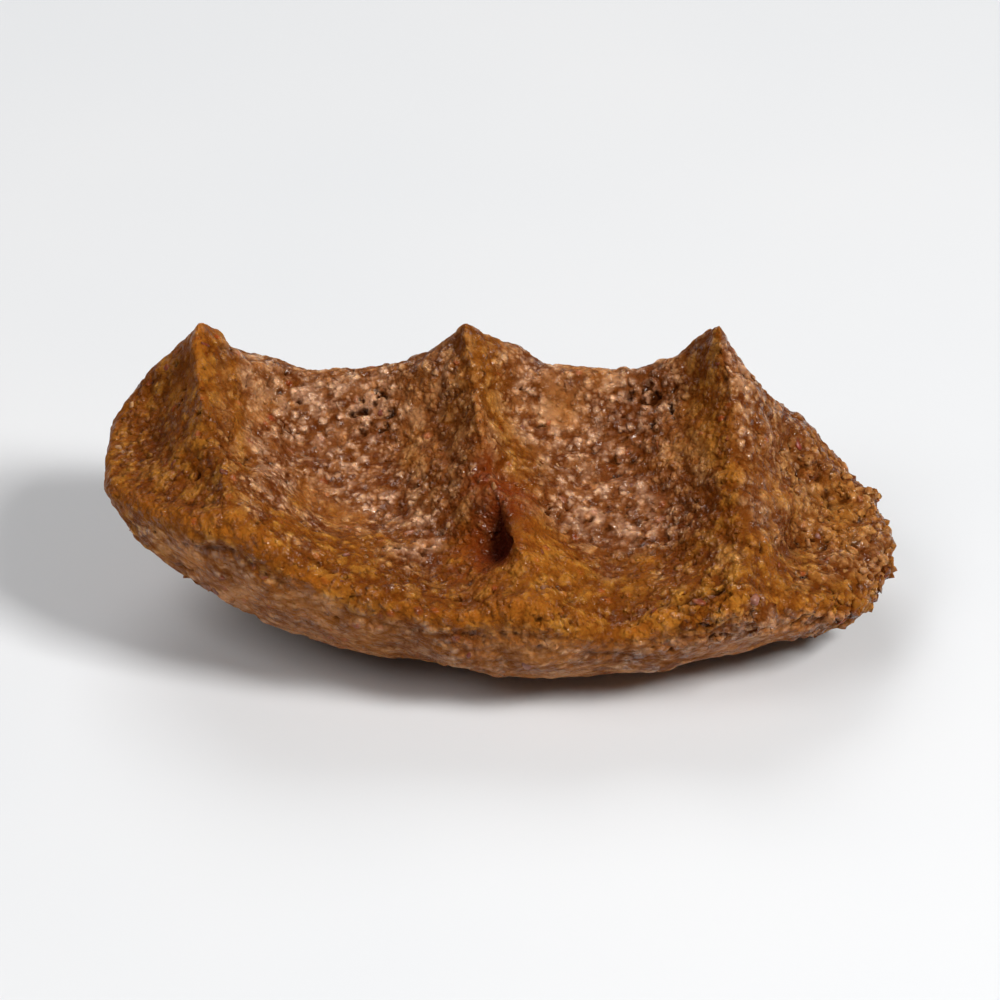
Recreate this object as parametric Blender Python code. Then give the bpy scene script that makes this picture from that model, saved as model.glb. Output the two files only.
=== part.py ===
"""One hand-squeezed piece of cig kofte, lying on its palm side with the finger dents up.

The piece is lofted from sections across it, each a closed smooth curve through eleven
key points: the keel, the front side, the lip, the top side and the back. The sections
change along the piece by the table of stations, and the ends are rounded off. Between
the ridges the top side is pressed down in finger dents, which run from the back edge
to the lip. Low lumps and crags then go over the whole skin, and the keel is flat where
the piece rests.

Frame: +X along the piece towards its low end, +Y towards the back, +Z up. The origin is
on the resting plane, under the middle of the piece.
"""

import bmesh
import bpy
from mathutils import Vector, noise

MM = 0.001

# Driving sizes, in millimetres
FINGER_PITCH = 19.5  # from one ridge to the next
HIGH_END = -26.9  # of the piece along X, measured from the middle ridge
LOW_END = 32.3
HIGH_END_ROUND = 7.0  # length over which each end is rounded off
LOW_END_ROUND = 9.0
DENT_DEPTH = 4.8  # of the finger dents, below the straight line between two ridges
REST_DEPTH = 0.6  # by which the keel is flattened

# Along the piece: place, reach and height of the lip, reach and height of the ridges'
# peaks, reach of the back side, height and reach of the keel
STATIONS = (
    (-27.0, -7.8, 14.8, 7.2, 17.2, 10.0, 9.6, 1.5),
    (-23.0, -9.8, 15.4, 8.0, 19.6, 11.6, 7.0, 1.0),
    (-18.5, -11.8, 14.6, 8.6, 21.0, 12.8, 3.9, 0.2),
    (-13.0, -13.4, 12.9, 8.8, 20.2, 13.5, 1.6, -0.6),
    (-7.0, -14.3, 11.3, 8.8, 19.9, 13.8, 0.3, -1.0),
    (0.0, -14.9, 10.4, 8.7, 20.8, 13.8, -0.35, -1.0),
    (8.0, -14.9, 10.2, 8.6, 19.8, 13.8, -0.35, -1.0),
    (14.0, -14.3, 10.4, 8.6, 19.8, 13.6, -0.2, -0.9),
    (19.3, -13.2, 10.4, 8.4, 20.4, 13.2, 0.3, -0.6),
    (24.0, -11.6, 9.5, 7.0, 15.2, 12.0, 0.9, 0.0),
    (29.0, -9.8, 8.2, 5.6, 10.9, 10.4, 1.5, 0.6),
    (32.5, -8.6, 7.2, 4.6, 9.2, 9.0, 2.0, 1.0),
)

# The ridges between the dents: place along X at the back, and drift of the front foot
RIDGES = (
    (-33.0, 0.0),
    (-1.0 * FINGER_PITCH, 3.2),
    (0.0, 5.2),
    (19.3, 1.2),
    (40.0, -2.0),
)

# The dents, one between each two ridges: depth, as a share of DENT_DEPTH, and how much
# of that depth is left at the lip and at the back edge
DENTS = (
    (0.76, 0.10, 0.80),
    (1.00, 0.18, 0.80),
    (0.95, 0.20, 0.84),
    (0.38, 0.22, 0.60),
)

# Small pits in the top side: place along X and Y, radius and depth
PITS = (
    (2.6, -3.4, 2.3, 1.5),
    (-17.0, -2.6, 2.6, 1.3),
    (-6.0, 3.6, 1.9, 0.5),
    (11.5, 2.4, 2.2, 0.6),
    (25.5, -3.0, 2.4, 1.1),
)

# Key points of the top side between the lip and the crest: place as a share of the way,
# crown above the straight line, share of the dent's depth and of the ridge's drift
TOP_KEYS = (
    (0.18, 0.4, 0.64, 0.85),
    (0.43, 0.5, 1.02, 0.45),
    (0.74, 0.3, 1.02, 0.12),
)

RINGS = 92
END_RINGS = 5
SPANS = (4, 5, 4, 4, 4, 4, 5, 5, 5, 4, 4)  # points from each key point to the next
LIP_KEY = 3
CREST_KEY = 7
LAST_KEY = 11

PRESS = Vector((0.0, 0.35, -0.94))  # the way in which the fingers press
SEED = Vector((3.7, 11.2, 5.9))


def between(x, places, values):
    """Smooth interpolation of a table of values, by a cubic through each pair."""
    last = len(places) - 1
    if x <= places[0]:
        return values[0]
    if x >= places[last]:
        return values[last]
    i = max(k for k in range(last) if places[k] <= x)

    def slope(k):
        if k == 0 or k == last:
            return 0.0
        return (values[k + 1] - values[k - 1]) / (places[k + 1] - places[k - 1])

    width = places[i + 1] - places[i]
    t = (x - places[i]) / width
    start = (2 * t**3 - 3 * t**2 + 1) * values[i] + (t**3 - 2 * t**2 + t) * width * slope(i)
    end = (3 * t**2 - 2 * t**3) * values[i + 1] + (t**3 - t**2) * width * slope(i + 1)
    return start + end


def ease(t):
    t = min(max(t, 0.0), 1.0)
    return t * t * (3 - 2 * t)


def dent_at(x):
    """The dent that a place falls in: its number, and how far from ridge to floor."""
    for number in range(len(DENTS)):
        left = RIDGES[number][0]
        right = RIDGES[number + 1][0]
        if x <= right or number == len(DENTS) - 1:
            across = abs(2 * (x - left) / (right - left) - 1)
            return number, 1 - min(across, 1.0) ** 2.4
    return 0, 0.0


def drift_at(x):
    """How far the front of a section leans along X, following the ridges."""
    return between(x, [ridge[0] for ridge in RIDGES], [ridge[1] for ridge in RIDGES])


def section(x):
    """The eleven key points of the section at a place, as (lean, y, z)."""
    places = [row[0] for row in STATIONS]
    values = [between(x, places, [row[k] for row in STATIONS]) for k in range(1, 8)]
    lip_y, lip_z, crest_y, crest_z, back_y, keel_z, keel_y = values
    rise = lip_z - keel_z
    number, floor = dent_at(x)
    share, at_lip, at_back = DENTS[number]
    depth = DENT_DEPTH * share * floor * rounding(x)
    drift = drift_at(x)
    top = []
    for along, crown, press, lean in TOP_KEYS:
        y = lip_y + along * (crest_y - lip_y)
        z = lip_z + along * (crest_z - lip_z) + crown
        top.append((drift * lean, y + PRESS.y * press * depth, z + PRESS.z * press * depth))
    crest_drop = at_back * depth
    return (
        (0.3 * drift, keel_y, keel_z),
        (0.5 * drift, 0.62 * lip_y, keel_z + 0.17 * rise),
        (0.8 * drift, 0.97 * lip_y, keel_z + 0.60 * rise),
        (drift, lip_y, lip_z - at_lip * depth),
        *top,
        (0.0, crest_y + 0.12 * crest_drop, crest_z - crest_drop),
        (0.0, back_y, keel_z + 0.62 * (crest_z - keel_z) - 0.4 * crest_drop),
        (0.0, 0.98 * back_y, keel_z + 0.34 * (crest_z - keel_z)),
        (0.1 * drift, 0.66 * back_y, keel_z + 0.07 * (crest_z - keel_z)),
    )


def rounding(x):
    """The size of the section near the ends, from 1 down to 0 at the very end."""
    size = 1.0
    for end, length in ((HIGH_END, HIGH_END_ROUND), (LOW_END, LOW_END_ROUND)):
        over = 1 - abs(x - end) / length
        if over > 0:
            size *= max(1 - over**2.4, 0.0) ** (1 / 2.2)
    return size


def ring_places():
    """Places of the rings, closer together towards the ends, with one on each ridge."""
    stops = [HIGH_END, HIGH_END + 1.6, *(ridge[0] for ridge in RIDGES[1:4]), LOW_END - 2.0, LOW_END]
    total = LOW_END - HIGH_END
    places = []
    for i in range(len(stops) - 1):
        start = stops[i]
        width = stops[i + 1] - start
        first = i == 0
        last = i == len(stops) - 2
        count = END_RINGS if first or last else round((RINGS - 2 * END_RINGS) * width / total)
        for k in range(count):
            t = k / count
            if first:
                t = ((k + 1) / (count + 1)) ** 2
            if last:
                t = 1 - ((count - k) / count) ** 2
            places.append(start + width * t)
    return places


def ring_points(x):
    """The points of one ring: a closed Catmull-Rom curve through the key points."""
    keys = section(x)
    count = len(keys)
    middle_y = sum(key[1] for key in keys) / count
    middle_z = sum(key[2] for key in keys) / count
    size = rounding(x)
    points = []
    for i in range(count):
        before, this, after, beyond = (keys[(i + k) % count] for k in (-1, 0, 1, 2))
        for k in range(SPANS[i]):
            t = k / SPANS[i]
            place = []
            for a, b, c, d in zip(before, this, after, beyond):
                bend = (2 * a - 5 * b + 4 * c - d) * t * t + (3 * b - a - 3 * c + d) * t**3
                place.append(0.5 * (2 * b + (c - a) * t + bend))
            lean, y, z = place
            y = middle_y + size * (y - middle_y)
            z = middle_z + size * (z - middle_z)
            points.append(Vector((x + size * lean, y, z)))
    return points


def roughness(point, key):
    """How craggy the skin is at a point: the ends and edges more than the dents."""
    ends = ease((point.x - 17.0) / 10.0) + 0.5 * ease((-20.0 - point.x) / 5.0)
    lip = max(0.0, 1 - abs(key - LIP_KEY) / 0.9) * (0.6 + 0.8 * ease((point.x - 4.0) / 6.0))
    crest = 0.7 * max(0.0, 1 - abs(key - CREST_KEY) / 1.2)
    back = 0.5 * ease((key - CREST_KEY) / 0.8) * ease((LAST_KEY - key) / 1.5)
    tip = 1 - 0.8 * ease((-21.0 - point.x) / 4.0)
    return (0.62 + 0.9 * ends + lip + crest + back) * tip


def pit_depth(point):
    """How deep the small pits go at a point of the top side."""
    depth = 0.0
    for x, y, radius, most in PITS:
        out = ((point.x - x) ** 2 + (point.y - y) ** 2) ** 0.5 / radius
        depth += most * ease(1.25 * (1 - out))
    return depth


def lumps(point):
    """Height of the lumps and crags at a point, in millimetres."""
    broad = noise.noise(point / 9.0 + SEED)
    middle = noise.noise(point / 4.6 - SEED)
    fine = noise.noise(point / 2.7 + 2 * SEED)
    crags = 1 - 2 * abs(noise.noise(point / 5.2 + 3 * SEED))
    return 0.55 * broad + 0.45 * middle + 0.28 * fine + 0.30 * (crags - 0.6)


def sway(point):
    """A slow sideways shift, so that no ridge or edge runs straight."""
    along = noise.noise(point / 8.0 + 4 * SEED) + 0.4 * noise.noise(point / 3.4 + 5 * SEED)
    across = noise.noise(point / 9.0 - 2 * SEED)
    return Vector((0.9 * along, 0.7 * across, 0.0))


def make_kofte():
    form = bmesh.new()
    rings = []
    for x in ring_places():
        ring = ring_points(x)
        rings.append([form.verts.new(p + rounding(x) * sway(p)) for p in ring])
    for ring, following in zip(rings, rings[1:]):
        for i in range(len(ring)):
            j = (i + 1) % len(ring)
            form.faces.new((ring[i], ring[j], following[j], following[i]))
    tips = []
    for ring, end in ((rings[0], HIGH_END), (rings[-1], LOW_END)):
        middle = sum((v.co for v in ring), Vector()) / len(ring)
        tip = form.verts.new((end + 0.3 * (middle.x - end), middle.y, middle.z))
        tips.append(tip)
        for i in range(len(ring)):
            form.faces.new((ring[i], ring[(i + 1) % len(ring)], tip))
    bmesh.ops.recalc_face_normals(form, faces=form.faces)
    form.normal_update()
    key_of = []
    for key, count in enumerate(SPANS):
        key_of += [key + k / count for k in range(count)]
    keyed = [(tip, 0.5 * LAST_KEY) for tip in tips]
    for ring in rings:
        keyed += zip(ring, key_of)
    moves = []
    for vert, key in keyed:
        height = roughness(vert.co, key) * lumps(vert.co) * rounding(vert.co.x) ** 2
        move = vert.normal * height
        if LIP_KEY < key < CREST_KEY:
            move += PRESS * pit_depth(vert.co)
        moves.append(move)
    for (vert, _), move in zip(keyed, moves):
        vert.co += move
    lowest = min(v.co.z for v in form.verts)
    for vert in form.verts:
        vert.co.z = max(vert.co.z - lowest - REST_DEPTH, 0.0)
    points = [vert.co for vert in form.verts]
    middle_x = (max(p.x for p in points) + min(p.x for p in points)) / 2
    middle_y = (max(p.y for p in points) + min(p.y for p in points)) / 2
    bmesh.ops.translate(form, verts=form.verts, vec=(-middle_x, -middle_y, 0.0))
    bmesh.ops.scale(form, verts=form.verts, vec=(MM, MM, MM))
    bmesh.ops.triangulate(form, faces=form.faces, quad_method="SHORT_EDGE")
    mesh = bpy.data.meshes.new("kofte")
    form.to_mesh(mesh)
    form.free()
    mesh.shade_smooth()
    kofte = bpy.data.objects.new("kofte", mesh)
    bpy.context.scene.collection.objects.link(kofte)
    return kofte


def make_material():
    paste = bpy.data.materials.new("bulgur_paste")
    paste.use_nodes = True
    skin = paste.node_tree.nodes["Principled BSDF"]
    skin.inputs["Base Color"].default_value = (0.24, 0.085, 0.026, 1.0)
    skin.inputs["Roughness"].default_value = 0.5
    skin.inputs["Metallic"].default_value = 0.0
    return paste


for leftover in list(bpy.data.objects):
    bpy.data.objects.remove(leftover)
piece = make_kofte()
piece.data.materials.append(make_material())
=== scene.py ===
"""Looks of one hand-squeezed piece of cig kofte: moist bulgur paste with dents and ridges.

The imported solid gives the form. A finer skin over it carries the rounded grain of the paste,
its pores, creases, hole and torn places, and separate pieces hold the grains, crumbs and
flakes that stand out of it. Lengths are in millimetres, colours are linear, and the number
after the size of a noise is its seed.
"""

import itertools
import math

import bpy
import numpy as np
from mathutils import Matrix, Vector, kdtree


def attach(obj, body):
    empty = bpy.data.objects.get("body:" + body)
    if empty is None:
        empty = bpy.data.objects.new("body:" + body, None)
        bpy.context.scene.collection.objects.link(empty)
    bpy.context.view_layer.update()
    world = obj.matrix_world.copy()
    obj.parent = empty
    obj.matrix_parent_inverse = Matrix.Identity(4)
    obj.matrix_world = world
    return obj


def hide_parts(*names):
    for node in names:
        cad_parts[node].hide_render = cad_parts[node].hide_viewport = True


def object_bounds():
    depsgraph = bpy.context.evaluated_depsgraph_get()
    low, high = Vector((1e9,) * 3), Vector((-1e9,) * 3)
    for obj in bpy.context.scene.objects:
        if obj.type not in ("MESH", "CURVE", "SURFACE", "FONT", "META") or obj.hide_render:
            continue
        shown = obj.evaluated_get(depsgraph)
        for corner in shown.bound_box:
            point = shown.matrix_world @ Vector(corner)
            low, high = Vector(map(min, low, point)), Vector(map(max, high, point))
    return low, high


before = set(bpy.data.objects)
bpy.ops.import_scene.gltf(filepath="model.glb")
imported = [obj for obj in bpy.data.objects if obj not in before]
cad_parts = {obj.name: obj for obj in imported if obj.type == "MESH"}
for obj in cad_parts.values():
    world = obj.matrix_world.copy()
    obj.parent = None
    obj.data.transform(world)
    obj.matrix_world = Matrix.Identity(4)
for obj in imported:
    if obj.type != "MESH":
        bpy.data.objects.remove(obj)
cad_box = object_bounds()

MM = 0.001
NODE = "kofte"

# Camera
ELEVATION = 33.0
AZIMUTH = 0.0
LENS = 200.0
SENSOR = 36.0
FILL = 0.80  # share of the picture's width that the piece takes
CLIP_START = 0.01  # in metres

# Lights: azimuth, elevation, distance and size in metres, watts, and tint. Azimuth 0 is in
# front, 90 to the right
LIGHTS = {
    "key": (56.0, 45.0, 0.60, 0.16, 3.6, (1.0, 0.965, 0.92)),
    "fill": (-50.0, 50.0, 0.70, 0.36, 1.6, (1.0, 0.97, 0.94)),
    "back": (195.0, 46.0, 0.70, 0.45, 2.0, (1.0, 0.97, 0.94)),
}
WORLD_TINT = (1.0, 0.92, 0.84, 1.0)
WORLD_STRENGTH = 0.09
FLOOR_TINTS = ((0.70, 0.735, 0.78), (0.72, 0.75, 0.79))
FLOOR_HALF = 3.0  # in metres
FLOOR_DROP = 0.00005  # in metres, so that the floor and the flat spot don't coincide

# Skin
VOXEL = 0.265
SWAY = (0.75, 0.45, 0.30)  # how far the form wanders in x, y and z
PEAK = (16.3, 7.8, 4.6, 0.45, 0.7)  # of the third ridge: x, y, reach, how much it narrows, rise
HOLE = (-0.3, -7.2, 1.3, 1.7, 2.2)  # middle in x and y, half width, half length, depth
FOLD = (9.5, 1.6, 11.0, 0.32)  # crease along the back: height, sway, wave, depth

# Depth of the marks in the skin
CRACK_DEPTH = 0.45
PORE_DEPTH = 0.42
PALM_LINE_DEPTH = 0.26
STREAK_DEPTH = 0.09  # where a finger smeared the paste, and along the lip
PRESSED_STREAK_DEPTH = 0.04

# Creases beside the front lip: how far from it, depth, half width, and above it or below
LIP_FACING = (0.0, -0.80, 0.60)
LIP_CREASES = ((1.9, 0.20, 0.45, -1.0), (1.7, 0.10, 0.40, 1.0))

# Grains in the skin: size of a cell, height where the paste is whole and torn, share in
# the tone, and seed
GRAINS = (
    (2.6, 0.08, 0.42, 0.22, 37),
    (1.45, 0.17, 0.26, 0.36, 11),
    (0.86, 0.16, 0.19, 0.42, 23),
)
TONE_CONTRAST = 3.4

# Places with a look of their own: the half width of a band and the path that it follows
GOLDEN = (
    (2.0, ((-1.8, 8.5), (-0.8, 4.4), (0.9, 1.1), (1.4, -2.0))),
    (1.9, ((2.0, -9.4), (4.0, -8.9), (6.0, -9.0))),
    (0.8, ((-19.8, 6.5), (-19.2, 1.0), (-18.6, -4.0))),
)
THIRD_RIDGE = (
    (15.0, 8.0), (15.4, 4.4), (16.2, 0.0), (16.9, -3.2), (16.2, -6.6), (13.9, -7.6), (11.0, -7.0)
)
# Painted shade: a strip below the first ridge's peak, and the third ridge's flank that faces the
# high end
SHADE_BANDS = (
    (2.0, ((-20.6, -4.4), (-19.9, -8.2))),
    (1.6, THIRD_RIDGE),
)
HALO = ((2.5, ((0.3, -3.8), (-0.3, -7.2))),)
PITTED = ((1.9, ((-9.9, 6.8), (-9.2, 6.4))), (2.0, ((10.6, 6.4), (11.6, 6.2))))

# Scattered things: how many, gap between them, length, width, thickness, how far they
# stand out where the paste is whole and where it is torn, and range of tone
SCATTER = {
    "bulgur": (3000, 0.78, (0.7, 1.3), (0.5, 0.9), (0.5, 0.8), -0.10, 0.08, (0.25, 0.90)),
    "bulgur_pale": (90, 2.6, (0.8, 1.3), (0.5, 0.8), (0.5, 0.7), 0.02, 0.16, (0.3, 0.9)),
    "pepper_red": (60, 3.2, (0.6, 1.3), (0.4, 0.8), (0.2, 0.3), 0.00, 0.08, (0.1, 0.9)),
    "onion": (24, 5.5, (0.9, 1.6), (0.7, 1.1), (0.4, 0.5), 0.03, 0.14, (0.3, 0.9)),
}
CRUMBS = (34, 2.4, (1.0, 2.4))  # how many, gap, size

rng = np.random.default_rng(20)


# Noise on arrays of points

def scramble(cells, seed):
    """A whole number from 0 to 2**32 - 1 for each cell, the same in every run."""
    c = cells.astype(np.int64).astype(np.uint32)
    h = c[:, 0] * np.uint32(73856093)
    h ^= c[:, 1] * np.uint32(19349663)
    h ^= c[:, 2] * np.uint32(83492791)
    h ^= np.uint32((seed * 2654435761) % 2**32)
    for shift, factor in ((16, 0x7FEB352D), (15, 0x846CA68B)):
        h ^= h >> np.uint32(shift)
        h *= np.uint32(factor)
    return h ^ (h >> np.uint32(16))


def draws(cells, seed, count):
    """Several numbers from 0 to 1 for each cell, as columns."""
    return np.stack([scramble(cells, seed * 31 + k) / 2.0**32 for k in range(count)], axis=1)


def gradient_noise(points, seed):
    """Smooth noise from about -1 to 1, with features one unit across."""
    cell = np.floor(points)
    inner = points - cell
    fade = inner**3 * (inner * (inner * 6 - 15) + 10)
    total = np.zeros(len(points))
    for corner in itertools.product((0, 1), repeat=3):
        corner = np.array(corner, float)
        slope = draws(cell + corner, seed, 3) * 2 - 1
        weight = np.prod(np.where(corner > 0, fade, 1 - fade), axis=1)
        total += weight * np.sum(slope * (inner - corner), axis=1)
    return total * 1.3


def fractal(points, size, seed, octaves=3, keep=0.5):
    """Several octaves of noise, the largest with features of the given size."""
    total = np.zeros(len(points))
    height = 1.0
    for k in range(octaves):
        total += height * gradient_noise(points / size + 17.3 * k, seed + k)
        size *= 0.5
        height *= keep
    return total


def warp(points, size, amount, seed):
    """The points, each moved a little, so that what is drawn on them isn't regular."""
    return points + amount * np.stack([fractal(points, size, seed + k, 1) for k in range(3)], 1)


def grains(points, cell, seed, stretch=1.5):
    """Rounded grains that fill space, each tipped a little. Gives how far a point is up its
    grain's slope, the depth of each point in its grain, and a number of the grain's own."""
    base = np.floor(points / cell)
    best = np.full(len(points), -9.0)
    own = np.zeros(len(points))
    height = np.zeros(len(points))
    for step in itertools.product((-1, 0, 1), repeat=3):
        place = base + np.array(step, float)
        r = draws(place, seed, 8)
        centre = (place + 0.5 + 0.85 * (r[:, :3] - 0.5)) * cell
        axis = r[:, 3:6] - 0.5
        axis /= np.linalg.norm(axis, axis=1, keepdims=True) + 1e-9
        radius = cell * (0.40 + 0.26 * r[:, 6])
        away = points - centre
        along = np.sum(away * axis, axis=1)
        square = np.sum(away * away, axis=1) - along**2 * (1 - 1 / stretch**2)
        inside = 1 - np.sqrt(np.maximum(square, 0.0)) / radius
        tilt = np.sum(away * (r[:, [5, 3, 4]] - 0.5), axis=1) / cell
        nearer = inside > best
        best[nearer] = inside[nearer]
        own[nearer] = r[nearer, 7]
        height[nearer] = (r[nearer, 0] - 0.5) + 2.2 * tilt[nearer]
    return height, best, own


def ease(t):
    t = np.clip(t, 0.0, 1.0)
    return t * t * (3 - 2 * t)


def bands(kinds, seed):
    """How near each point is to the middle of some bands over the top, with uneven edges."""
    nearness = np.zeros(len(points))
    uneven = 1 + 0.45 * fractal(points, 3.0, seed, 2)
    for wide, path in kinds:
        path = np.array(path)
        steps = np.arange(0, len(path) - 0.99, 0.1)
        line = [np.interp(steps, np.arange(len(path)), path[:, k]) for k in range(2)]
        gap = np.full(len(points), 99.0)
        for here_x, here_y in zip(*line):
            gap = np.minimum(gap, np.hypot(x - here_x, y - here_y))
        nearness = np.maximum(nearness, np.exp(-((gap * uneven / wide) ** 2)))
    return nearness * top


# The skin's mesh

def skin_mesh():
    """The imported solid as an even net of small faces."""
    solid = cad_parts[NODE]
    cast = solid.copy()
    cast.data = solid.data.copy()
    cast.parent = None
    bpy.context.scene.collection.objects.link(cast)
    net = cast.modifiers.new("net", "REMESH")
    net.mode = "VOXEL"
    net.voxel_size = VOXEL * MM
    state = bpy.context.evaluated_depsgraph_get()
    mesh = bpy.data.meshes.new_from_object(cast.evaluated_get(state))
    bpy.data.objects.remove(cast)
    mesh.name = "kofte_paste"
    mesh.materials.clear()
    return mesh


def read_vectors(data, name, count):
    flat = np.empty(count * 3, np.float32)
    data.foreach_get(name, flat)
    return flat.reshape(-1, 3).astype(float)


def positions(mesh):
    return read_vectors(mesh.vertices, "co", len(mesh.vertices)) / MM


def directions(mesh):
    return read_vectors(mesh.vertices, "normal", len(mesh.vertices))


def place(mesh, points):
    mesh.vertices.foreach_set("co", (points * MM).astype(np.float32).ravel())
    mesh.update()


class Net:
    """Which points of a mesh are neighbours, to average over them."""

    def __init__(self, mesh):
        ends = np.empty(len(mesh.edges) * 2, np.int32)
        mesh.edges.foreach_get("vertices", ends)
        ends = ends.reshape(-1, 2)
        self.a = np.concatenate((ends[:, 0], ends[:, 1]))
        self.b = np.concatenate((ends[:, 1], ends[:, 0]))
        self.size = len(mesh.vertices)
        self.count = np.maximum(np.bincount(self.a, minlength=self.size), 1)

    def average(self, values, rounds, share=0.5):
        values = np.array(values, float)
        columns = values.reshape(self.size, -1)
        for _ in range(rounds):
            for k in range(columns.shape[1]):
                mean = np.bincount(self.a, columns[self.b, k], self.size) / self.count
                columns[:, k] += share * (mean - columns[:, k])
        return columns.reshape(values.shape)


def colour_layer(mesh, name, columns):
    layer = mesh.color_attributes.new(name, "FLOAT_COLOR", "POINT")
    full = np.ones((len(mesh.vertices), 4), np.float32)
    for k, column in enumerate(columns):
        full[:, k] = column
    layer.data.foreach_set("color", full.ravel())


def front_lip(points, facing, step=0.4):
    """The line along the front lip: in each slice, the point that is furthest out towards
    the front and up, smoothed and filled in to a point every tenth of a millimetre."""
    front = points[points[:, 1] < -3.0]
    slices = np.floor(front[:, 0] / step).astype(int)
    reach = front @ facing
    order = np.lexsort((reach, slices))
    last = np.flatnonzero(np.diff(slices[order], append=slices.max() + 1))
    line = front[order[last]]
    for _ in range(6):
        line[1:-1] = (line[:-2] + line[1:-1] + line[2:]) / 3
    places = np.arange(line[0, 0], line[-1, 0], 0.1)
    return np.stack([np.interp(places, line[:, 0], line[:, k]) for k in range(3)], 1)


def distance_to(points, some, line):
    """How far some of the points are from a line, and 9 for the others."""
    tree = kdtree.KDTree(len(line))
    for number, spot in enumerate(line):
        tree.insert(spot, number)
    tree.balance()
    found = np.full(len(points), 9.0)
    for which in some:
        found[which] = tree.find(points[which])[2]
    return found


mesh = skin_mesh()
net = Net(mesh)
points = net.average(positions(mesh), 8)

# The hand's unevenness
sway = np.stack([fractal(points, 8.0, 200 + 10 * k, 2) for k in range(3)], 1)
points += sway * SWAY * ease(points[:, 2] / 4.0)[:, None]

# The third ridge's peak, drawn out thin where the hand let go
peak_x, peak_y, reach, narrow, rise = PEAK
from_peak = np.hypot(points[:, 0] - peak_x, 0.8 * (points[:, 1] - peak_y)) / reach
near_peak = ease(1 - from_peak) * ease((points[:, 2] - 11.0) / 5.0)
points[:, 0] += narrow * near_peak * (peak_x - points[:, 0])
points[:, 2] += rise * near_peak**3
place(mesh, points)
out = directions(mesh)
x, y, z = points.T

# Where the skin bulges or sinks, at the scale of the edges and at that of the dents
near_mean = net.average(points, 24)
far_mean = net.average(near_mean, 160)
bulge = net.average(np.sum((points - near_mean) * out, axis=1), 6)
edge = ease((bulge - 0.05) / 0.28)
form = net.average(np.sum((points - far_mean) * out, axis=1), 20)
top = ease((out[:, 2] + 0.1) / 0.5)
pressed = ease((0.45 - form) / 0.7) * top
ridge = ease((form - 0.15) / 0.7) * top

# Down the face, the ridges are round bands. At their peaks they stay sharp
band = (ridge * ease((18.6 - z) / 3.0) * ease((y + 11.0) / 3.0))[:, None]
points += 0.9 * band * (net.average(points, 70) - points)
place(mesh, points)
out = directions(mesh)
x, y, z = points.T
palm = ease((0.20 - out[:, 2]) / 0.6)

# Torn and crumbly places: the low end, the front edge towards it, and specks elsewhere
torn = ease((x - 18.0 + 2.5 * fractal(points, 8.0, 4, 2)) / 9.0)
front_tear = ease((x - 1.0) / 4.0) * ease((-y - 9.5) / 3.0) * ease((z - 5.0) / 3.0)
front_tear *= ease((fractal(points, 6.0, 6, 2) + 0.35) / 0.6)
speck = ease((fractal(points, 9.0, 5, 2) - 0.15) / 0.4)
torn = np.clip(0.90 * torn + 0.8 * front_tear + 0.35 * speck * (1 - pressed), 0, 1)
torn = np.clip(torn + 0.20 * edge, 0, 1)

# Smears, where a finger drew the paste over itself: on the ridges and along the lip
smear = np.clip(ridge + 0.5 * edge, 0, 1) * ease((fractal(points, 6.5, 7, 2) + 0.55) / 0.5)
smear *= 1 - 0.60 * ease((x - 19.0) / 5.0)
side = palm * ease((-y - 4.0) / 4.0)
smear = np.clip(smear + 0.45 * side, 0, 1)

# Golden places, on the second ridge and the front; rosy ones, a painted sheen in the middle and
# upper part of the dents, weaker on flanks that face the high end; and dark ones, painted shade
# at the high end and on the flanks that face it. How lively a place is says how much its grains
# differ in tone
drift = fractal(points, 7.0, 170, 3, 0.6)
golden = bands(GOLDEN, 180)
dark = bands(SHADE_BANDS, 185)
ragged = drift + 0.6 * fractal(points, 2.6, 175, 2)
rosy_sheen = ease((1.0 - form) / 0.8) * top * ease((y + 8.0 + 5.0 * ragged) / 6.0)
rosy_sheen *= (1 - ease((-18.8 - x) / 2.5)) * (1 - 0.9 * golden) * (1 - dark)
rosy_sheen *= (1 - 0.65 * ease((x - 17.0) / 2.5)) * (1 - 0.55 * ease((y - 9.0) / 3.0))
rosy_sheen *= 1 - 0.55 * ease((-out[:, 0] - 0.15) / 0.45)
rosy_sheen = np.clip(rosy_sheen * (0.90 + 0.6 * drift), 0, 1)
smear *= 1 - 0.7 * rosy_sheen
# Painted shade at the high end, along the shade bands, on flanks that face the high end and
# towards the low front, plus darker umber patches at random
umber_and_shade = 0.95 * ease((-18.8 - x) / 3.0) * top * (1 - 0.8 * golden) + dark
umber_and_shade += 0.45 * ease((-out[:, 0] - 0.15) / 0.5) * top * (1 - 0.6 * rosy_sheen)
umber_and_shade += 0.45 * ease((-y - 7.0) / 4.0) * ease((form + 0.6) / 0.6) * top * (1 - golden)
umber_and_shade = np.clip(umber_and_shade + 0.45 * drift * (1 - rosy_sheen) * (1 - golden), 0, 1)
lively = np.clip(0.50 + 0.65 * rosy_sheen + 0.45 * torn - 0.15 * umber_and_shade + 0.40 * ragged, 0.2, 1)
rosy_sheen = np.clip(rosy_sheen + 0.6 * side, 0, 1)

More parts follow.
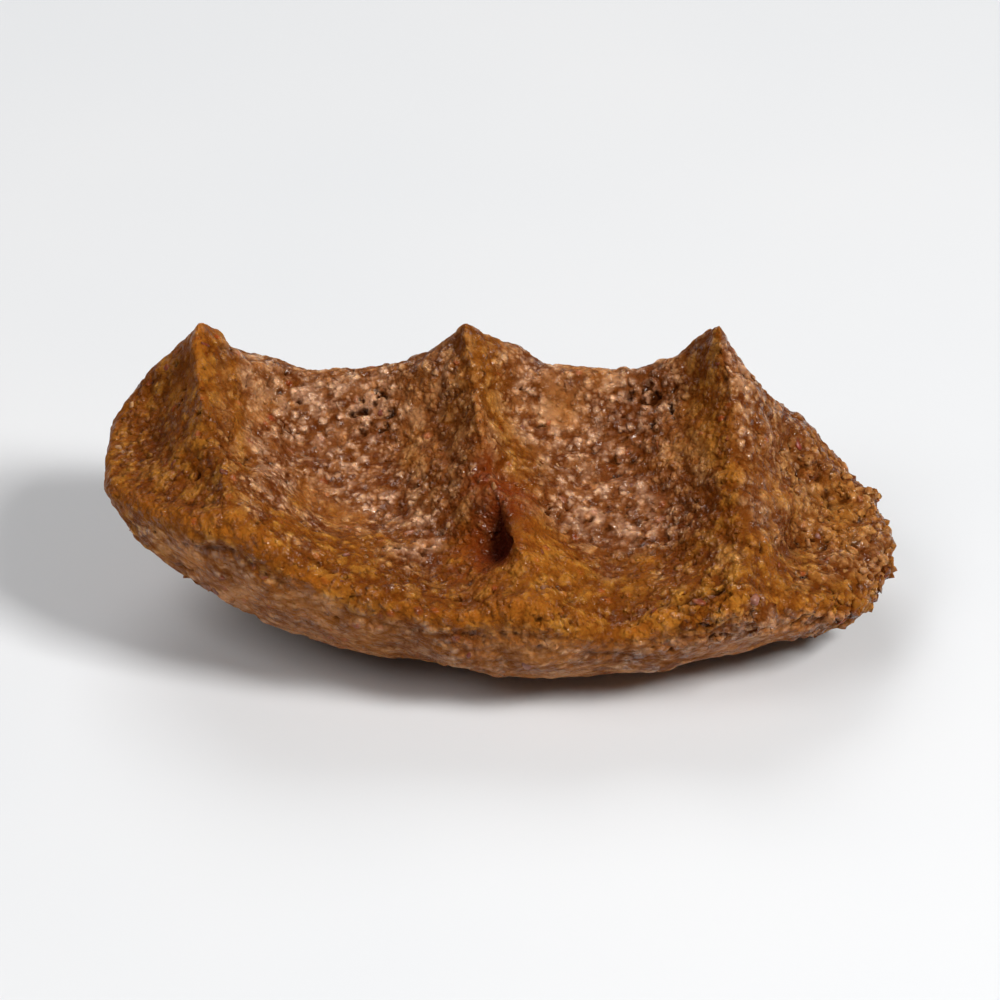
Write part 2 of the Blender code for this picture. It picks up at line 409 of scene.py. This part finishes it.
# Rounded grains, flatter where the paste is smeared and higher where it is torn
calm = 1 - 0.70 * smear * (1 - 0.7 * torn) - 0.25 * palm
calm *= 0.55 + 0.50 * lively
move = 0.16 * fractal(points, 4.2, 40, 2, 0.5) * (0.7 + 2.0 * torn)
move += 0.08 * fractal(points, 1.5, 50, 3, 0.7) * (0.7 + 1.5 * torn)
tone = np.zeros(len(points))
groove = np.zeros(len(points))
for cell, flush, loose, weight, seed in GRAINS:
    slope, inside, own = grains(warp(points, 0.8 * cell, 0.30 * cell, seed), cell, seed)
    dome = np.sqrt(1 - np.clip(1 - inside, 0, 1) ** 2)
    patch = 0.40 + 0.9 * ease((fractal(points, 5.0 * cell, seed + 50, 1) + 0.5) / 1.0)
    height = (flush + (loose - flush) * torn) * calm * patch
    move += height * (dome - 0.7 + 0.5 * slope * dome)
    tone += (own - 0.5) * dome * weight
    groove += (1 - dome) * patch / len(GRAINS)
tone = 0.5 + TONE_CONTRAST * tone

# Creases, pores and finger marks
cracks = 1 - np.abs(fractal(points, 5.0, 60, 3, 0.55)) * 3.4
cracks = ease((cracks - 0.55) / 0.45) * (0.06 + 0.94 * torn) * (1 - 0.8 * pressed)
move -= CRACK_DEPTH * cracks
streaks = gradient_noise(points * np.array([1 / 0.9, 1 / 6.0, 1 / 4.0]), 70)
move += STREAK_DEPTH * streaks * smear + PRESSED_STREAK_DEPTH * streaks * pressed
palm_lines = 1 - np.abs(fractal(points * np.array([0.35, 1.0, 1.0]), 7.0, 80, 2)) * 4.0
palm_lines = ease((palm_lines - 0.45) / 0.5) * palm * (1 - side)
palm_lines *= ease((fractal(points, 6.0, 83, 2) + 0.25) / 0.5)
move -= PALM_LINE_DEPTH * palm_lines
fold_z, fold_sway, fold_wave, fold_deep = FOLD
fold_height = fold_z + fold_sway * np.sin(x / fold_wave + 1.0) + 1.4 * fractal(points, 9.0, 85, 2)
fold = np.exp(-(((z - fold_height) / 0.60) ** 2)) * ease((y - 4.0) / 4.0)
fold *= ease((fractal(points, 8.0, 88, 2) + 0.10) / 0.5) * ease((24.0 - np.abs(x)) / 8.0)
move -= fold_deep * fold
_, pores, _ = grains(warp(points, 0.7, 0.60, 90), 1.9, 90, 2.6)
pore = ease((pores - 0.70) / 0.20) * ease((fractal(points, 5.0, 95, 1) - 0.05) / 0.3)
_, pits, _ = grains(warp(points, 0.7, 0.50, 97), 1.15, 97, 2.0)
pore = np.maximum(pore, ease((pits - 0.35) / 0.30) * ease((bands(PITTED, 190) - 0.35) / 0.3))
pore *= 1 - 0.6 * smear
move -= PORE_DEPTH * pore

# Creases beside the front lip, where the paste was squeezed out between the fingers
lip = front_lip(points, LIP_FACING)
from_lip = distance_to(points, np.flatnonzero((y < -4.0) & (z > 3.0)), lip)
waver = 0.40 * fractal(points, 5.0, 120, 2)
patchy = ease((fractal(points, 7.0, 130, 2) + 0.45) / 0.5)
crease = np.zeros(len(points))
for offset, deep, wide, sense in LIP_CREASES:
    line = np.exp(-(((from_lip - offset - waver) / wide) ** 2))
    line *= ease((sense * (out[:, 2] - 0.45)) / 0.2 + 0.5) * patchy
    move -= deep * line
    crease = np.maximum(crease, 0.6 * line)
lip_line = np.exp(-((from_lip / 0.8) ** 2)) * patchy
lip_streaks = gradient_noise(points * np.array([1 / 6.0, 1 / 0.9, 1 / 0.9]), 125)
move += STREAK_DEPTH * lip_line * lip_streaks

# The hole at the foot of the middle ridge, and the red paste around it
hole_x, hole_y, hole_wide, hole_long, hole_deep = HOLE
away = ((x - hole_x) / hole_wide) ** 2 + ((y - hole_y) / hole_long) ** 2
hole = np.exp(-(away + 0.35 * fractal(points, 1.6, 140, 2))) * (out[:, 2] > 0.1)
move -= hole_deep * hole
halo = bands(HALO, 195)

points = points + out * move[:, None]
points[:, 2] = np.maximum(points[:, 2], 0.0)
place(mesh, points)

# What the shader reads
out_now = directions(mesh)
# How sunk each place is, closely and widely: the shader paints shade into these hollows, and into
# the cracks, creases, fold and palm lines
hollow = np.sum((net.average(points, 10) - points) * out_now, axis=1)
proud = ease((-hollow - 0.02) / 0.16)
hollow = ease((hollow + 0.01) / 0.20) + 0.7 * cracks + 0.5 * crease
hollow = np.clip(hollow + 0.5 * fold + 0.35 * palm_lines, 0, 1)
wide_hollow = np.sum((net.average(points, 60) - points) * out_now, axis=1)
wide_hollow = np.clip(ease((wide_hollow - 0.05) / 0.5), 0, 1)
colour_layer(mesh, "grain", (np.clip(tone, 0, 1), golden, np.clip(groove, 0, 1)))
colour_layer(mesh, "relief", (hollow, edge, wide_hollow))
colour_layer(mesh, "zone", (np.clip(1.6 * hole, 0, 1), halo, pore))
colour_layer(mesh, "paste", (np.clip(smear + lip_line, 0, 1), proud, lively))
colour_layer(mesh, "light", (rosy_sheen, umber_and_shade, lip_line))
mesh.shade_smooth()

paste = bpy.data.objects.new("kofte_paste", mesh)
bpy.context.scene.collection.objects.link(paste)


# Grains, flakes and crumbs

def spread(count, gap, share):
    """Points of the skin, at least a gap apart, more of them where share is higher."""
    order = rng.permutation(len(points))
    lucky = rng.random(len(points)) < share
    cells = np.floor(points / gap).astype(int)
    steps = list(itertools.product((-1, 0, 1), repeat=3))
    taken = {}
    chosen = []
    for i in order[lucky[order]]:
        px, py, pz = points[i]
        a, b, c = cells[i]
        near = (q for dx, dy, dz in steps for q in taken.get((a + dx, b + dy, c + dz), ()))
        if any((q[0] - px) ** 2 + (q[1] - py) ** 2 + (q[2] - pz) ** 2 < gap * gap for q in near):
            continue
        taken.setdefault((a, b, c), []).append((px, py, pz))
        chosen.append(i)
        if len(chosen) == count:
            break
    return np.array(chosen)


def pebble(tiers, sides):
    """A closed lump of stacked rings, about one unit in radius."""
    corners = [(0.0, 0.0, -1.0)]
    for tier in range(tiers):
        lean = math.pi * ((tier + 1) / (tiers + 1) - 0.5)
        for k in range(sides):
            turn = math.tau * (k + 0.5 * tier) / sides
            corners.append(
                (math.cos(lean) * math.cos(turn), math.cos(lean) * math.sin(turn), math.sin(lean))
            )
    corners.append((0.0, 0.0, 1.0))
    last = len(corners) - 1
    faces = []
    for k in range(sides):
        after = (k + 1) % sides
        faces.append((0, 1 + after, 1 + k))
        faces.append((last, last - sides + k, last - sides + after))
        for tier in range(tiers - 1):
            here, there = 1 + tier * sides + k, 1 + tier * sides + after
            faces.append((here, there, here + sides))
            faces.append((there, there + sides, here + sides))
    return np.array(corners), np.array(faces)


def axes_at(normals, tilt):
    """Three axes for each lump: along, across and out, tipped a little at random."""
    up = normals + tilt * rng.normal(size=normals.shape)
    up /= np.linalg.norm(up, axis=1, keepdims=True)
    along = np.cross(up, rng.normal(size=normals.shape))
    along /= np.linalg.norm(along, axis=1, keepdims=True)
    return along, np.cross(up, along), up


def lumps(name, at, half, stand, unit, faces, rough, tones, material):
    """Lumps at some points of the skin, sunk in it, joined into one piece."""
    n = len(at)
    along, across, up = axes_at(out_now[at], 0.25)
    centre = points[at] + out_now[at] * (stand - half[:, 2])[:, None]
    local = unit[None] * (1 + rough * rng.normal(size=(n, len(unit), 1)).clip(-1.7, 1.7))
    local = local * half[:, None, :]
    if len(unit) > 60:
        flat = (local + 9.0 * np.arange(n)[:, None, None]).reshape(-1, 3)
        local *= 1 + 0.55 * fractal(flat, 0.8, 150, 2).reshape(n, -1, 1)
    corners = centre[:, None] + np.einsum("nka,nax->nkx", local, np.stack((along, across, up), 1))
    corners[..., 2] = np.maximum(corners[..., 2], 0.0)
    above = np.sum((corners - points[at][:, None]) * out_now[at][:, None], axis=2)
    contact = ease(above / 0.16).ravel()
    every = np.repeat(at, len(unit))
    own = np.repeat(rng.uniform(*tones, n), len(unit))

    made = bpy.data.meshes.new(name)
    faces = (faces[None] + len(unit) * np.arange(n)[:, None, None]).reshape(-1, 3)
    made.from_pydata((corners.reshape(-1, 3) * MM).tolist(), [], faces.tolist())
    # Each lump is painted darker towards its foot, and in a hollow it takes that hollow's painted
    # shade, fading up the lump
    colour_layer(made, "grain", (own, golden[every], np.clip(0.8 - contact, 0, 1)))
    colour_layer(made, "relief", (hollow[every] * (1 - contact), edge[every], wide_hollow[every]))
    colour_layer(made, "zone", (hole[every], halo[every], np.zeros(len(every))))
    colour_layer(made, "paste", (smear[every] * 0.5, 0.6 * contact, lively[every]))
    colour_layer(made, "light", (rosy_sheen[every], umber_and_shade[every], lip_line[every]))
    made.shade_smooth()
    made.materials.append(material)
    obj = bpy.data.objects.new(name, made)
    bpy.context.scene.collection.objects.link(obj)
    return obj


def scatter(name, material):
    """Many small grains or flakes of one kind."""
    count, gap, lengths, widths, depths, low_stand, high_stand, tones = SCATTER[name]
    share = (0.25 + 0.75 * torn) * (1 - 0.7 * smear)
    at = spread(count, gap, share)
    half = np.stack([rng.uniform(*span, len(at)) for span in (lengths, widths, depths)], 1) / 2
    half *= 0.75 + 0.35 * torn[at, None]
    stand = low_stand + (high_stand - low_stand) * torn[at]
    stand += 0.10 * rng.normal(size=len(at)) * (0.4 + torn[at])
    unit, faces = pebble(3, 6)
    return lumps("kofte_" + name, at, half, stand, unit, faces, 0.20, tones, material)


def crumbs(material):
    """Bits of paste that broke loose and stuck, at the torn places."""
    count, gap, sizes = CRUMBS
    at = spread(count, gap, np.clip(torn - 0.35, 0, 1) ** 2)
    half = rng.uniform(*sizes, (len(at), 1)) * rng.uniform(0.7, 1.0, (len(at), 3)) / 2
    stand = half[:, 2] * rng.uniform(0.10, 0.55, len(at))
    unit, faces = pebble(9, 14)
    return lumps("kofte_crumbs", at, half, stand, unit, faces, 0.07, (0.3, 0.8), material)


# Materials

class Graph:
    """Short ways to make and join the nodes of a material."""

    def __init__(self, name):
        self.material = bpy.data.materials.new(name)
        self.material.use_nodes = True
        self.tree = self.material.node_tree
        self.skin = self.tree.nodes["Principled BSDF"]
        self.here = self.node("ShaderNodeTexCoord").outputs["Object"]

    def node(self, kind, **settings):
        made = self.tree.nodes.new(kind)
        for key, value in settings.items():
            setattr(made, key, value)
        return made

    def feed(self, socket, value):
        if hasattr(value, "is_output"):
            self.tree.links.new(value, socket)
        elif isinstance(value, tuple) and len(value) == 3 and socket.type == "RGBA":
            socket.default_value = (*value, 1.0)
        else:
            socket.default_value = value

    def set_values(self, values):
        for name, value in values.items():
            self.skin.inputs[name].default_value = value

    def split(self, colour):
        made = self.node("ShaderNodeSeparateColor")
        self.feed(made.inputs[0], colour)
        return made.outputs

    def layer(self, name):
        return self.split(self.node("ShaderNodeAttribute", attribute_name=name).outputs["Color"])

    def noise(self, size, detail=2.0, rough=0.55, output="Fac"):
        made = self.node("ShaderNodeTexNoise")
        self.feed(made.inputs["Vector"], self.here)
        made.inputs["Scale"].default_value = 1 / (size * MM)
        made.inputs["Detail"].default_value = detail
        made.inputs["Roughness"].default_value = rough
        return made.outputs[output]

    def vector(self, operation, a, b, output=0):
        made = self.node("ShaderNodeVectorMath", operation=operation)
        self.feed(made.inputs[0], a)
        self.feed(made.inputs["Scale"] if operation == "SCALE" else made.inputs[1], b)
        return made.outputs[output]

    def warped(self, size, amount):
        """Places, each moved a little, so that what is drawn on them isn't regular."""
        push = self.vector("SUBTRACT", self.noise(size, 1.0, 0.5, "Color"), (0.5, 0.5, 0.5))
        return self.vector("ADD", self.here, self.vector("SCALE", push, 2 * amount * MM))

    def grains(self, size):
        """Rounded grains, each tipped a little: their height, three numbers of each grain's
        own, and how near a place is to its grain's middle."""
        place = self.warped(0.8 * size, 0.30 * size)
        made = self.node("ShaderNodeTexVoronoi")
        self.feed(made.inputs["Vector"], place)
        made.inputs["Scale"].default_value = 1 / (size * MM)
        own = made.outputs["Color"]
        away = self.vector("SUBTRACT", place, made.outputs["Position"])
        away = self.vector("SCALE", away, 1 / (size * MM))
        slope = self.vector("SUBTRACT", own, (0.5, 0.5, 0.5))
        tilt = self.vector("DOT_PRODUCT", away, slope, "Value")
        dome = self.span(made.outputs["Distance"], 0.05, 0.75, 1.0, 0.0)
        return self.math("ADD", dome, tilt), self.split(own), dome

    def span(self, value, low, high, start=0.0, end=1.0):
        made = self.node("ShaderNodeMapRange", interpolation_type="SMOOTHSTEP")
        self.feed(made.inputs["Value"], value)
        made.inputs["From Min"].default_value = low
        made.inputs["From Max"].default_value = high
        made.inputs["To Min"].default_value = start
        made.inputs["To Max"].default_value = end
        return made.outputs["Result"]

    def math(self, operation, a, b=0.0, clamp=False):
        made = self.node("ShaderNodeMath", operation=operation, use_clamp=clamp)
        self.feed(made.inputs[0], a)
        self.feed(made.inputs[1], b)
        return made.outputs[0]

    def times(self, *values):
        product = values[0]
        for value in values[1:]:
            product = self.math("MULTIPLY", product, value)
        return product

    def mix(self, share, a, b, blend="MIX"):
        made = self.node("ShaderNodeMix", data_type="RGBA", blend_type=blend)
        self.feed(made.inputs[0], share)
        self.feed(made.inputs[6], a)
        self.feed(made.inputs[7], b)
        return made.outputs[2]

    def bump(self, height, strength, distance, under=None):
        made = self.node("ShaderNodeBump")
        made.inputs["Strength"].default_value = strength
        made.inputs["Distance"].default_value = distance * MM
        self.feed(made.inputs["Height"], height)
        if under is not None:
            self.feed(made.inputs["Normal"], under)
        return made.outputs["Normal"]


# Colours of the paste and of the bits in it
BROWN = (0.255, 0.074, 0.0070)
ORANGE = (0.340, 0.110, 0.0110)
ROSY_SHEEN = (0.660, 0.280, 0.0980)
SMEAR = (0.385, 0.117, 0.0110)
GOLD = (0.355, 0.115, 0.0095)
UMBER = (0.190, 0.049, 0.0020)
STRAW = (0.670, 0.300, 0.0420)
PEACH_GLINT = (0.980, 0.580, 0.3500)
DEEP = (0.095, 0.017, 0.0008)
HOLLOW_SHADE = (0.030, 0.005, 0.0005)
BLOOD = (0.165, 0.022, 0.0020)
HOLE_SHADE = (0.045, 0.0040, 0.0020)
PEPPER = (0.300, 0.022, 0.0050)

# Flakes: darkest and lightest colour, roughness, and how much light goes through
FLAKES = {
    "bulgur_pale": ((0.30, 0.130, 0.040), (0.52, 0.290, 0.115), 0.40, 0.2),
    "pepper_red": ((0.100, 0.009, 0.003), (0.330, 0.030, 0.007), 0.42, 0.1),
    "onion": ((0.190, 0.070, 0.055), (0.400, 0.200, 0.160), 0.38, 0.3),
}
PASTE_SURFACE = {
    "Coat Roughness": 0.12,
    "Coat IOR": 1.52,
    "IOR": 1.40,
    "Specular IOR Level": 0.20,
    "Specular Tint": (1.0, 0.50, 0.15, 1.0),
    "Subsurface Weight": 0.20,
    "Subsurface Radius": (1.0, 0.38, 0.12),
    "Subsurface Scale": 0.7 * MM,
}
FLAKE_SURFACE = {
    "Coat Weight": 0.2,
    "Coat Roughness": 0.25,
    "Specular IOR Level": 0.3,
    "Subsurface Radius": (1.0, 0.45, 0.2),
    "Subsurface Scale": 0.6 * MM,
}
COARSE_GRAIN = 0.66
FINE_GRAIN = 0.34


def paste_material():
    g = Graph("bulgur_paste")
    tone, golden, groove = g.layer("grain")[:3]
    hollow, edge, wide_hollow = g.layer("relief")[:3]
    hole, halo, pore = g.layer("zone")[:3]
    smear, proud, lively = g.layer("paste")[:3]
    rosy_sheen, umber_and_shade, lip_line = g.layer("light")[:3]
    coarse, coarse_own, coarse_dome = g.grains(COARSE_GRAIN)
    fine, fine_own, fine_dome = g.grains(FINE_GRAIN)

    # Body colour, from place to place
    colour = g.mix(g.span(g.noise(5.5, 3.0), 0.36, 0.64), BROWN, ORANGE)
    # Rosy painted sheen in the middle and upper part of the dents, in patches
    colour = g.mix(g.times(rosy_sheen, g.span(g.noise(2.2, 3.0), 0.36, 0.58, 0.20, 1.0)), colour, ROSY_SHEEN)
    # Umber and painted shade at the high end and on the flanks that face it
    colour = g.mix(g.times(umber_and_shade, g.span(g.noise(2.0, 3.0), 0.35, 0.65, 0.5, 1.0)), colour, UMBER)
    colour = g.mix(g.times(smear, g.span(g.noise(2.6, 2.0), 0.3, 0.7, 0.45, 1.0)), colour, SMEAR)
    colour = g.mix(g.times(golden, g.span(g.noise(2.2, 3.0), 0.3, 0.7, 0.50, 1.0)), colour, GOLD)
    colour = g.mix(g.span(g.noise(2.4, 4.0, 0.6), 0.48, 0.68, 0.0, 0.50), colour, DEEP)

    # Grains, each with its own tone: those of the mesh, and two finer sizes
    calm = g.times(g.math("SUBTRACT", 1.0, g.times(smear, 0.5)), lively)
    # Pale grains are straw-coloured, and peach where the rosy sheen is: painted glints on the
    # grain tops
    pale_and_glint = g.mix(rosy_sheen, STRAW, PEACH_GLINT)
    colour = g.mix(g.times(g.span(tone, 0.52, 0.90), calm, 0.90), colour, pale_and_glint)
    colour = g.mix(g.times(g.span(tone, 0.45, 0.10), calm, 0.85), colour, DEEP)
    light_grain = g.span(coarse_own[0], 0.50, 0.90)
    dark_grain = g.span(coarse_own[0], 0.45, 0.05)
    colour = g.mix(g.times(light_grain, coarse_dome, calm, 0.90), colour, pale_and_glint)
    colour = g.mix(g.times(dark_grain, coarse_dome, calm, 0.80), colour, DEEP)
    colour = g.mix(g.times(g.math("SUBTRACT", 1.0, coarse_dome), calm, 0.75), colour, DEEP)
    colour = g.mix(g.times(g.span(fine_own[1], 0.60, 0.95), fine_dome, calm, 0.35), colour, pale_and_glint)
    colour = g.mix(g.times(g.math("SUBTRACT", 1.0, fine_dome), calm, 0.30), colour, DEEP)
    colour = g.mix(g.times(g.span(coarse_own[1], 0.96, 0.98), coarse_dome, 0.55), colour, PEPPER)

    # Raised bits are paler, thin edges are painted a brighter orange as a painted glow, and
    # hollows, cracks, creases and pores get painted shade
    colour = g.mix(g.times(proud, lively, 0.35), colour, pale_and_glint)
    colour = g.mix(g.times(edge, 0.20), colour, ORANGE)
    colour = g.mix(g.times(lip_line, g.span(g.noise(1.4, 3.0), 0.42, 0.62), 0.25), colour, ORANGE)
    colour = g.mix(g.span(groove, 0.25, 0.85, 0.0, 0.55), colour, DEEP)
    colour = g.mix(g.span(hollow, 0.25, 1.0, 0.0, 0.80), colour, HOLLOW_SHADE)
    colour = g.mix(g.span(wide_hollow, 0.15, 1.0, 0.0, 0.60), colour, HOLLOW_SHADE)
    colour = g.mix(g.times(pore, 0.70), colour, HOLLOW_SHADE)
    colour = g.mix(g.times(halo, g.span(g.noise(1.1, 3.0), 0.3, 0.6, 0.60, 1.0)), colour, BLOOD)
    # The hole is painted near-black maroon: painted shade inside it
    colour = g.mix(g.times(hole, 0.92), colour, HOLE_SHADE)
    g.feed(g.skin.inputs["Base Color"], colour)

    # Wet film, thicker on some grains
    wet = g.noise(1.7, 3.0, 0.65)
    gloss = g.span(wet, 0.35, 0.62, 0.75, 0.40)
    gloss = g.math("ADD", gloss, g.span(hollow, 0.3, 1.0, 0.0, 0.25), clamp=True)
    g.feed(g.skin.inputs["Roughness"], gloss)
    film = g.times(g.span(wet, 0.32, 0.50), g.span(coarse_own[2], 0.10, 0.55, 0.50, 1.0))
    film = g.times(film, g.span(lively, 0.25, 0.90, 0.25, 1.0), g.span(coarse_dome, 0.1, 0.6))
    g.feed(g.skin.inputs["Coat Weight"], film)
    g.set_values(PASTE_SURFACE)

    # Relief finer than the mesh
    normal = g.bump(coarse, 1.0, 0.19)
    normal = g.bump(fine, 0.9, 0.09, normal)
    normal = g.bump(g.noise(0.14, 2.0, 0.6), 0.6, 0.025, normal)
    g.feed(g.skin.inputs["Normal"], normal)
    g.feed(g.skin.inputs["Coat Normal"], normal)
    return g.material


def flake_material(name, dark, light, roughness, translucent):
    """Bits of pepper, onion or bare bulgur in the paste, each with its own tone."""
    g = Graph(name)
    tone, _, groove = g.layer("grain")[:3]
    colour = g.mix(tone, dark, light)
    colour = g.mix(g.span(g.noise(0.5, 2.0), 0.3, 0.7, 0.0, 0.5), colour, dark)
    colour = g.mix(g.span(g.noise(0.8, 2.0), 0.40, 0.70, 0.0, 0.75), colour, BROWN)
    # Darker towards the flake's foot, where it sinks into the paste
    colour = g.mix(g.times(groove, 0.9), colour, DEEP)
    g.feed(g.skin.inputs["Base Color"], colour)
    g.feed(g.skin.inputs["Roughness"], g.span(g.noise(0.6), 0.3, 0.7, roughness, roughness + 0.2))
    g.set_values(FLAKE_SURFACE)
    g.skin.inputs["Subsurface Weight"].default_value = translucent
    g.feed(g.skin.inputs["Normal"], g.bump(g.noise(0.22, 2.0), 0.5, 0.06))
    return g.material


paste_look = paste_material()
paste.data.materials.append(paste_look)
pieces = [paste, scatter("bulgur", paste_look)]
for name, look in FLAKES.items():
    pieces.append(scatter(name, flake_material(name, *look)))
pieces.append(crumbs(paste_look))


# Floor, light and camera

def floor_material():
    g = Graph("floor")
    tint = g.mix(g.span(g.noise(60.0), 0.3, 0.7), *FLOOR_TINTS)
    g.feed(g.skin.inputs["Base Color"], tint)
    g.skin.inputs["Roughness"].default_value = 0.9
    g.skin.inputs["Specular IOR Level"].default_value = 0.1
    return g.material


def add_floor():
    half = FLOOR_HALF
    plane = bpy.data.meshes.new("floor")
    corners = [(-half, -half, 0), (half, -half, 0), (half, half, 0), (-half, half, 0)]
    plane.from_pydata(corners, [], [(0, 1, 2, 3)])
    floor = bpy.data.objects.new("floor", plane)
    floor.location.z = -FLOOR_DROP
    plane.materials.append(floor_material())
    bpy.context.scene.collection.objects.link(floor)


def from_angles(azimuth, elevation):
    a = math.radians(azimuth)
    e = math.radians(elevation)
    return Vector((math.sin(a) * math.cos(e), -math.cos(a) * math.cos(e), math.sin(e)))


def add_area_light(name, azimuth, elevation, distance, size, watts, tint):
    """A square soft light that points at the piece."""
    lamp = bpy.data.lights.new(name, "AREA")
    lamp.shape = "SQUARE"
    lamp.size = size
    lamp.energy = watts
    lamp.color = tint
    obj = bpy.data.objects.new(name, lamp)
    away = from_angles(azimuth, elevation)
    obj.location = centre + away * distance
    obj.rotation_mode = "QUATERNION"
    obj.rotation_quaternion = (-away).to_track_quat("-Z", "Y")
    bpy.context.scene.collection.objects.link(obj)


box_low, box_high = cad_box
centre = (Vector(box_low) + Vector(box_high)) / 2
add_floor()
for name, settings in LIGHTS.items():
    add_area_light(name, *settings)

world = bpy.data.worlds.new("studio")
world.use_nodes = True
world.node_tree.nodes["Background"].inputs["Color"].default_value = WORLD_TINT
world.node_tree.nodes["Background"].inputs["Strength"].default_value = WORLD_STRENGTH
bpy.context.scene.world = world
bpy.context.scene.view_settings.view_transform = "Standard"

camera_data = bpy.data.cameras.new("camera")
camera_data.lens = LENS
camera_data.sensor_width = SENSOR
camera_data.clip_start = CLIP_START
camera = bpy.data.objects.new("camera", camera_data)
length = box_high[0] - box_low[0]
distance = (length / FILL) * LENS / SENSOR
back = from_angles(AZIMUTH, ELEVATION)
camera.location = centre + back * distance
camera.rotation_mode = "QUATERNION"
camera.rotation_quaternion = (-back).to_track_quat("-Z", "Y")
bpy.context.scene.collection.objects.link(camera)
bpy.context.scene.camera = camera

for piece in pieces:
    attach(piece, "root")
    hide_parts(NODE)

bpy.context.view_layer.update()
